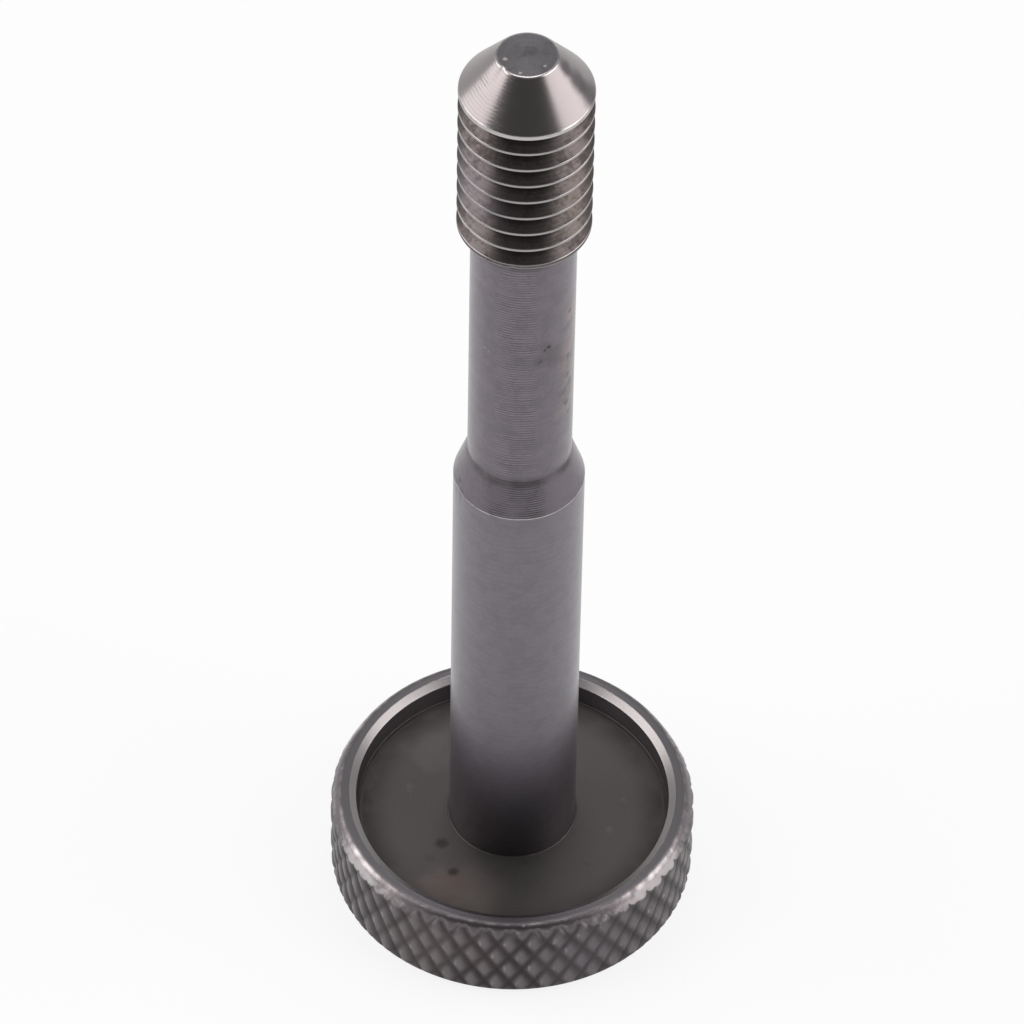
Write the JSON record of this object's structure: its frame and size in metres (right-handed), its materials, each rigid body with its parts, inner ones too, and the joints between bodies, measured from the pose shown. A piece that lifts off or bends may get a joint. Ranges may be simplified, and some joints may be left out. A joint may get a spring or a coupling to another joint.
{
  "type": "knurled-head bolt",
  "caption": "Turned steel bolt with a diamond-knurled disc head recessed around a plain shank, a slimmer neck and a ring-grooved end with a cone tip.",
  "frame": {"origin": "centre of the flat face of the head, on which the bolt stands", "axes": "+Z along the bolt's axis from the head to the tip, -Y towards the viewer"},
  "size_m": [0.0174, 0.0174, 0.0542],
  "materials": {
    "dark_steel": "turned, semi-gloss, lightly worn"
  },
  "bodies": {
    "root": {"bolt": "dark_steel"}
  },
  "joints": []
}
